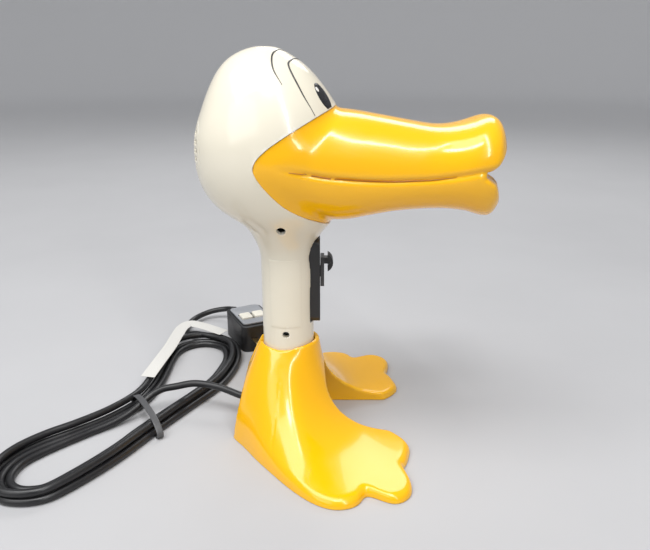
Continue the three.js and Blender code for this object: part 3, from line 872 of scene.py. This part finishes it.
def ahead_of_seam(points):
    """Distance ahead of the seam seen from the side, negative behind it."""
    places = points[:, [0, 2]]
    nearest = np.full(len(places), np.inf)
    signed = np.zeros(len(places))
    for start, step in zip(SEAM_LINE[:-1], np.diff(SEAM_LINE, axis=0)):
        share = np.clip(((places - start) @ step) / (step @ step), 0, 1)
        away = places - start - share[:, None] * step
        distance = np.linalg.norm(away, axis=1)
        side = np.sign(step[0] * away[:, 1] - step[1] * away[:, 0])
        signed = np.where(distance < nearest, distance * side, signed)
        nearest = np.minimum(nearest, distance)
    return signed


def in_mouth(points):
    """Depth inside the mouth's opening, negative outside it."""
    x, y, z = points.T
    middle = (MOUTH_OPENING["top"] + MOUTH_OPENING["bottom"]) / 2
    half_height = (MOUTH_OPENING["top"] - MOUTH_OPENING["bottom"]) / 2
    inside = np.minimum(half_height - np.abs(z - middle), MOUTH_OPENING["half_width"] - np.abs(y))
    return np.minimum(inside, x - MOUTH_OPENING["from"])


def cut_halves(name, points, faces, body, material):
    for side, sign in (("right", -1), ("left", 1)):
        half, kept = clip(points, faces, lambda p: HALF_GAP - sign * p[:, 1], SNAP)
        piece = mesh_object(f"{name}_{side}_shell", half, kept, body, material)
        thicken(piece, WALL - 0.3, 0.45)
        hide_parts({"head": "head_shell_", "bill": "bill_"}[name] + side)


def hole(x, z, radius):
    """Depth inside a round hole through the right side."""
    return lambda p: np.where(p[:, 1] < 0, radius - np.hypot(p[:, 0] - x, p[:, 2] - z), -radius)


def inlet_hole(points):
    away = np.hypot(points[:, 1], points[:, 2] - INLET["z"])
    return np.where(points[:, 0] < -20, INLET["radius"] - away, -1)


def switch_hole(points):
    x, y, z = points.T
    middle, half = (PLATE["top"] + PLATE["bottom"]) / 2, (PLATE["top"] - PLATE["bottom"]) / 2 + GAP
    return np.minimum(np.minimum(half - np.abs(z - middle), PLATE["half_width"] + GAP - np.abs(y)), x - 5)


def add_shells():
    points, quads = surface_net(dryer_field, (-66, -50, 53), (154, 50, 284), STEP)
    points = settle(dryer_field, points)
    faces = [tuple(quad) for quad in quads]
    head, head_faces = clip(points, faces, lambda p: ahead_of_seam(p) + SEAM_GAP, SNAP)
    for x, z, radius in SCREWS:
        head, head_faces = clip(head, head_faces, hole(x, z, radius), SNAP)
    for guide in (inlet_hole, switch_hole):
        head, head_faces = clip(head, head_faces, guide, SNAP)
    cut_halves("head", head, head_faces, "dryer", CREAM)
    ahead = ahead_of_seam(points)
    normals = gradient(dryer_field, points)
    normals /= np.maximum(np.linalg.norm(normals, axis=1, keepdims=True), 1e-6)
    sunk = points - normals * (BILL_SINK * (1 - smoothstep(ahead, 0, 14)))[:, None]
    bill, bill_faces = clip(sunk, faces, lambda p: SEAM_GAP - ahead_of_seam(p), SNAP)
    bill, bill_faces = clip(bill, bill_faces, in_mouth, SNAP)
    cut_halves("bill", bill, bill_faces, "dryer", YELLOW)


add_shells()


def add_stand():
    points, quads = surface_net(stand_field, (-62, -118, -2), (122, 118, 74), STEP)
    points = settle(stand_field, points)
    faces = [tuple(quad) for quad in quads]
    stand, stand_faces = clip(points, faces, lambda p: FLOOR_GAP - p[:, 2], SNAP)
    piece = mesh_object("stand", stand, stand_faces, "stand", YELLOW)
    thicken(piece, WALL, 0.4)
    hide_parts("stand_shell")


add_stand()


def grille_field(x, y, z):
    """The inlet grille: a round piece of the head's skin, with rows of slots either side of a rib."""
    skin = head_field(x, y, z)
    up = z - INLET["z"]
    away = np.hypot(y, up)
    solid = smooth_cut(np.maximum(skin, -(skin + WALL)), away - (INLET["radius"] - GAP), 0.6)
    row = np.clip(np.round(up / INLET["pitch"]), -3, 3) * INLET["pitch"]
    half_length = np.sqrt(np.maximum((INLET["radius"] - INLET["rim"]) ** 2 - row**2, 0))
    slot_middle = (half_length + INLET["rib_half"]) / 2
    beside = np.abs(np.abs(y) - slot_middle) - (half_length - INLET["rib_half"]) / 2
    slot = smooth_cut(np.abs(up - row) - INLET["slot_half"], beside, 0.8)
    return smooth_cut(solid, -slot, 0.8)


def add_inlet_grille():
    reach = INLET["radius"] + 1
    low, high = (-64, -reach, INLET["z"] - reach), (-52, reach, INLET["z"] + reach)
    points, quads = surface_net(grille_field, low, high, 0.55)
    points = settle(grille_field, points, limit=0.3)
    piece = mesh_object("inlet_slots", points, [tuple(quad) for quad in quads], "dryer", CREAM)
    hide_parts("inlet_grille")


add_inlet_grille()

# ---------------------------------------------------------------- painted lines, eyes and the blank plate
# Forward, sideways and up, before the points are settled on the skin.
EYE_LINE = [(21, -32, 238), (12, -28, 252), (4, -18, 268), (6, -11, 271), (10, 0, 271)]
BROW_LINE = [(1, -32, 257), (-5, -25, 266), (-6, -15, 274), (-3, -8, 277), (1, -3, 277)]
PUPIL = {"place": (25, -16, 248), "half_height": 10, "half_width": 6, "lift": 0.1}
GLINT = {"from_pupil": (-3.4, -1.5, 4.6), "half_height": 1.8, "half_width": 1.3, "lift": 0.22}
BLANK_PLATE = {"back": -12, "front": 10.5, "bottom": 85.5, "top": 137}
PAINT_THICKNESS = 0.1
PAINT_LIFT = 0.14
GROOVE_SHADE_LIFT = 0.6


def surface_frame(points):
    """Points settled on the dryer's skin, and the outward directions there."""
    points = settle(dryer_field, np.asarray(points, float), limit=5)
    normals = gradient(dryer_field, points)
    return points, normals / np.linalg.norm(normals, axis=1, keepdims=True)


def add_paint(name, points, faces, material):
    """A thin film of paint that rides on the dryer."""
    piece = mesh_object(name, points, faces, "dryer", material)
    film = piece.modifiers.new("film", "SOLIDIFY")
    film.thickness = PAINT_THICKNESS * MM
    film.offset = -1


def painted_line(name, route, width, mirror, material=LINE_PAINT, lift=PAINT_LIFT):
    """A thin brush line on the skin, tapering to its ends."""
    path = dense_curve([(x, mirror * y, z) for x, y, z in route], 0.8)
    points, normals = surface_frame(path)
    ahead = np.gradient(points, axis=0)
    across = np.cross(normals, ahead) * mirror
    across /= np.linalg.norm(across, axis=1, keepdims=True)
    taper = np.clip(np.sin(np.linspace(0.06, math.pi - 0.3, len(points))), 0.3, 1)
    half = (width / 2 * taper)[:, None]
    sides = np.stack([points - across * half, points + across * half], 1).reshape(-1, 3)
    faces = [(2 * i, 2 * i + 1, 2 * i + 3, 2 * i + 2) for i in range(len(points) - 1)]
    add_paint(name, sides + np.repeat(normals, 2, axis=0) * lift, faces, material)


def add_painted_mouth_shade():
    """Painted shade: a dark line along the bottom of the groove where the two halves of the beak's mouth
    meet.
    """
    for side, mirror in (("right", 1), ("left", -1)):
        route = [(x, -30, z) for x, z in MOUTH_LINE if x < LIPS_MEET]
        painted_line(f"painted_mouth_shade_{side}", route, 1.1, mirror, GROOVE_SHADE, GROOVE_SHADE_LIFT)


def painted_oval(name, centre, form, material, mirror):
    """A filled oval on the skin, standing upright."""
    half_height, half_width, lift = form["half_height"], form["half_width"], form["lift"]
    centre = np.array([[centre[0], mirror * centre[1], centre[2]]])
    (centre,), (normal,) = surface_frame(centre)
    across = np.cross([0, 0, 1], normal)
    across /= np.linalg.norm(across)
    up = np.cross(normal, across)
    around_count, rings = 40, 5
    flat = [centre]
    for ring in range(1, rings + 1):
        for turn in np.arange(around_count) * 2 * math.pi / around_count:
            share = ring / rings
            sideways = half_width * math.cos(turn) * across
            upwards = half_height * math.sin(turn) * up
            flat.append(centre + share * (sideways + upwards))
    points, normals = surface_frame(flat)
    faces = [(0, 1 + i, 1 + (i + 1) % around_count) for i in range(around_count)]
    for ring in range(rings - 1):
        for i in range(around_count):
            a = 1 + ring * around_count + i
            b = 1 + ring * around_count + (i + 1) % around_count
            faces.append((a, a + around_count, b + around_count, b))
    clipped, kept = clip(points + normals * lift, faces, lambda p: ahead_of_seam(p) + 0.8, 0.1)
    add_paint(name, clipped, kept, material)


def add_eyes():
    for side, mirror in (("right", 1), ("left", -1)):
        painted_line(f"eye_line_{side}", EYE_LINE, 1.25, mirror)
        painted_line(f"brow_line_{side}", BROW_LINE, 1.1, mirror)
        place = PUPIL["place"]
        painted_oval(f"pupil_{side}", place, PUPIL, BLACK_PAINT, mirror)
        shine = tuple(start + step for start, step in zip(place, GLINT["from_pupil"]))
        painted_oval(f"pupil_glint_{side}", shine, GLINT, GLINT_PAINT, mirror)


add_eyes()
add_painted_mouth_shade()


def grid_faces(rows, columns):
    """Four-sided faces of a grid of points that are listed row by row."""
    return [
        (r * columns + c, r * columns + c + 1, (r + 1) * columns + c + 1, (r + 1) * columns + c)
        for r in range(rows - 1)
        for c in range(columns - 1)
    ]


def add_blank_plate():
    """A thin plate without any marking, low on the right side of the handle."""
    columns = np.linspace(BLANK_PLATE["back"], BLANK_PLATE["front"], 16)
    rows = np.linspace(BLANK_PLATE["bottom"], BLANK_PLATE["top"], 30)
    beside = [-HANDLE_HALF_WIDTH * math.sqrt(1 - (x / HANDLE_HALF_DEPTH) ** 2) for x in columns]
    flat = [(x, y, z) for z in rows for x, y in zip(columns, beside)]
    points, normals = surface_frame(flat)
    faces = grid_faces(len(rows), len(columns))
    piece = mesh_object("blank_plate", points + normals * 0.28, faces, "dryer", CREAM)
    thicken(piece, 0.5, 0.18)


add_blank_plate()

# ---------------------------------------------------------------- plug, switch and small pieces


def add_small_pieces():
    rounded_copy("switch_plate", "dryer", SATIN_BLACK, 0.6)
    rounded_copy("switch_slider", "slider", SATIN_BLACK, 0.5)
    rounded_copy("outlet_grille", "dryer", SATIN_BLACK, 0.4)
    rounded_copy("plug_body", "stand", SATIN_BLACK, 2.6, segments=5)
    rounded_copy("plug_panel", "stand", PANEL_GREY, 0.5)
    rounded_copy("plug_blade_right", "stand", BRASS, 0.3)
    rounded_copy("plug_blade_left", "stand", BRASS, 0.3)
    rounded_copy("test_button", "test_button", BUTTON_WHITE, 1.0)
    rounded_copy("reset_button", "reset_button", BUTTON_WHITE, 1.0)


add_small_pieces()


def add_screw_sleeves():
    """The moulded tubes that each screw is reached through, seen in the holes of the right half."""
    for name, (x, z, radius) in zip(("upper", "lower"), SCREWS):
        inner, outer = radius + 0.05, radius + 1.1
        mouth = surface_frame([(x, -HANDLE_HALF_WIDTH, z)])[0][0][1] + 1.1
        deep = mouth + 4.5
        profile = [(mouth, inner), (mouth, outer), (deep, outer), (deep, inner), (mouth + 0.2, inner)]
        points, faces = lathe(profile)
        turned = np.stack([x + points[:, 0], points[:, 2], z - points[:, 1]], 1)
        sleeve = mesh_object(f"screw_sleeve_{name}", turned, faces[:-2], "dryer", CREAM)
        sharp_by_angle(sleeve, 50)


def lathe(profile, sides=40):
    """Vertices and faces of [height, radius] pairs turned about Z, with both ends closed."""
    turns = np.arange(sides) * 2 * math.pi / sides
    points = [(r * math.cos(t), r * math.sin(t), z) for z, r in profile for t in turns]
    return np.array(points), ring_faces(len(profile), sides)


def ribbed_sleeve(narrow, wide, length, ribs):
    """Profile of a strain relief, from its narrow end: tapered, with a groove between each two ribs."""
    pitch = length / ribs
    profile = [(0, narrow * 0.9)]
    for rib in range(ribs):
        start = rib * pitch
        for share, depth in ((0.06, 0.0), (0.55, 0.0), (0.62, 0.55), (0.92, 0.55), (0.99, 0.0)):
            height = start + share * pitch
            profile.append((height, narrow + (wide - narrow) * height / length - depth))
    profile.append((length, wide))
    return profile


def sharp_by_angle(piece, degrees):
    piece.data.shade_smooth()
    piece.data.set_sharp_from_angle(angle=math.radians(degrees))


def add_reliefs():
    length = HANDLE_BOTTOM - 0.6 - RELIEF_END
    profile = [(RELIEF_END + z, r) for z, r in ribbed_sleeve(3.6, 5.6, length, 5)]
    profile += [(HANDLE_BOTTOM - 0.4, 4.3), (HANDLE_BOTTOM + WALL + GAP, 4.3)]
    profile += [(HANDLE_BOTTOM + WALL + GAP, 7.3), (HANDLE_BOTTOM + WALL + 2.6, 7.3)]
    relief = mesh_object("cord_relief", *lathe(profile), "dryer", CORD_BLACK)
    sharp_by_angle(relief, 50)
    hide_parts("strain_relief")
    points, faces = lathe(ribbed_sleeve(3.7, 6.3, PLUG_RELIEF_LENGTH, 6))
    from_plug = -PLUG_LENGTH / 2 - GAP - PLUG_RELIEF_LENGTH
    along = points[:, 2] + from_plug
    cos, sin = math.cos(PLUG_TURN), math.sin(PLUG_TURN)
    placed = np.stack([
        PLUG_SPOT[0] + along * cos + points[:, 0] * sin,
        PLUG_SPOT[1] + along * sin - points[:, 0] * cos,
        PLUG_MIDDLE + points[:, 1],
    ], 1)
    relief = mesh_object("plug_relief", placed, faces, "stand", CORD_BLACK, shift=(0, 0, 0))
    sharp_by_angle(relief, 50)
    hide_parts("plug_strain_relief")


add_reliefs()
add_screw_sleeves()


def strap_mesh(name, path, sideways, width, thickness, body, material):
    """A flat strap along a path; sideways holds the direction of its width at each point."""
    path, sideways = np.asarray(path, float), np.asarray(sideways, float)
    sideways = sideways / np.linalg.norm(sideways, axis=1, keepdims=True)
    across = np.linspace(-0.5, 0.5, 5)
    points = (path[:, None] + across[None, :, None] * width * sideways[:, None]).reshape(-1, 3)
    faces = grid_faces(len(path), len(across))
    piece = mesh_object(name, points, faces, body, material, shift=(0, 0, 0))
    solid = piece.modifiers.new("thickness", "SOLIDIFY")
    solid.thickness = thickness * MM
    solid.offset = 0
    bevel = piece.modifiers.new("edges", "BEVEL")
    bevel.width = thickness * 0.3 * MM
    bevel.segments = 2
    bevel.limit_method = "ANGLE"
    bevel.angle_limit = math.radians(50)
    return piece


def add_tie():
    """A strap over the hank, its ends tucked under the outermost turns."""
    along = np.array([math.cos(TIE["turn"]), math.sin(TIE["turn"])])
    middle = np.array([TIE["x"], TIE["y"]])
    outline = [(-24, 0.5), (-29.2, 0.8), (-31.6, 2.6), (-31.4, 5.2), (-28, 8.6), (-20, 12.2), (-8, 13.9)]
    outline += [(-x, z) for x, z in reversed(outline)]
    route = dense_curve([(*(middle + along * u), z) for u, z in outline], 1.5)
    sideways = np.tile([-along[1], along[0], 0], (len(route), 1))
    strap = strap_mesh("tie_strap", route, sideways, TIE["width"], TIE["thickness"], "stand", TIE_GREY)
    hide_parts("cord_tie")


add_tie()


TAG_ROUTE = [
    (-116, 136, 12.4),
    (-130, 146, 12.2),
    (-144, 155, 12.2),
    (-154, 158, 12.4),
    (-159, 149, 12.6),
    (-161, 130, 12.4),
    (-162, 105, 12.4),
    (-165, 75, 12.4),
    (-168, 45, 12.4),
]


def add_tag():
    """A folded strip of plain paper lying on the hank."""
    path = dense_curve(TAG_ROUTE, 2)
    ahead = np.gradient(path, axis=0)
    sideways = np.cross(ahead, [0.05, -0.1, 1])
    tag = strap_mesh("paper_tag", path, sideways, TAG["width"], TAG["thickness"], "stand", PAPER)
    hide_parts("hang_tag")


add_tag()

CAD_LOOKS = {
    "fan_duct": SATIN_BLACK,
    "motor": STEEL,
    "motor_shaft": STEEL,
    "impeller": BUTTON_WHITE,
    "heater_sleeve": MICA,
    "heater_board_vertical": MICA,
    "heater_board_horizontal": MICA,
    "heater_coil": STEEL,
    "thermostat": BRASS,
    "thermal_fuse": BUTTON_WHITE,
    "switch_body": SATIN_BLACK,
    "cord_clamp": SATIN_BLACK,
    "upper_handle_screw": STEEL,
    "lower_handle_screw": STEEL,
}
for node, material in CAD_LOOKS.items():
    for material_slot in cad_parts[node].material_slots:
        material_slot.material = material

# ---------------------------------------------------------------- floor and light


def add_area(name, place, towards, size, energy, along=(1, 0, 0)):
    """A soft light; along is the direction of its longer side."""
    data = bpy.data.lights.new(name, "AREA")
    data.shape = "RECTANGLE"
    data.size, data.size_y = size
    data.energy = energy
    light = bpy.data.objects.new(name, data)
    facing = (Vector(place) - Vector(towards)).normalized()
    side = (Vector(along) - facing * Vector(along).dot(facing)).normalized()
    turn = Matrix((side, facing.cross(side), facing)).transposed().to_4x4()
    light.matrix_world = Matrix.Translation(place) @ turn
    bpy.context.scene.collection.objects.link(light)


def add_strip(name, left, right, energy):
    """A long narrow light between two ends, facing the object."""
    left, right = Vector(left), Vector(right)
    size = ((right - left).length, 0.08)
    add_area(name, (left + right) / 2, (0, 0, 0.2), size, energy, right - left)


def add_floor():
    """A pale floor that curves up, far away on every side, into a pale wall."""
    flat, bend, top, sides = 3.2, 1.2, 3, 72
    profile = [(radius, 0) for radius in (0.5, 1, 2, flat)]
    for degrees in range(6, 91, 6):
        turn = math.radians(degrees)
        profile.append((flat + bend * math.sin(turn), bend * (1 - math.cos(turn))))
    profile.append((flat + bend, top))
    turns = [2 * math.pi * i / sides for i in range(sides)]
    points = [(r * math.cos(t), r * math.sin(t), z) for r, z in profile for t in turns]
    faces = [tuple(range(sides))]
    for ring in range(len(profile) - 1):
        for i in range(sides):
            a, b = ring * sides + i, ring * sides + (i + 1) % sides
            faces.append((a, a + sides, b + sides, b))
    floor = bpy.data.meshes.new("floor")
    floor.from_pydata(points, [], faces)
    floor.shade_smooth()
    made = bpy.data.objects.new("floor", floor)
    bpy.context.scene.collection.objects.link(made)
    look = Look("floor", 0.8)
    clouds = look.noise(6)
    near = look.mix(clouds, (0.42, 0.42, 0.43), (0.47, 0.47, 0.48))
    # Painted light: the floor grows paler away from the object, making up for the dimmer light on the far
    # floor and wall.
    look.colour(look.mix(look.distance(0.6, 3.5), near, (0.82, 0.82, 0.83)))
    look.bump(look.noise(400), 0.05, 0.0003)
    made.data.materials.append(look.material)


def add_world():
    world = bpy.data.worlds.new("world")
    bpy.context.scene.world = world
    world.use_nodes = True
    world.node_tree.nodes["Background"].inputs["Color"].default_value = (0.85, 0.87, 0.9, 1)
    world.node_tree.nodes["Background"].inputs["Strength"].default_value = 0.34


add_floor()
add_world()
add_area("key", (-0.65, -0.35, 1.7), (0, 0, 0.15), (1.5, 1.1), 24)
add_strip("tall_strip", (0.45, -0.9, 0.35), (0.5, -0.9, 2.7), 15)
add_area("front_lamp", (-0.02, -0.85, 1.75), (0, 0, 0.2), (0.4, 0.3), 6)
add_area("left_fill", (-1.0, -1.1, 0.9), (0, 0, 0.15), (1.2, 1.0), 6)
add_area("back", (0.2, 1.2, 1.2), (0, 0, 0.15), (1.0, 0.5), 6)
bpy.context.scene.view_settings.view_transform = "Standard"
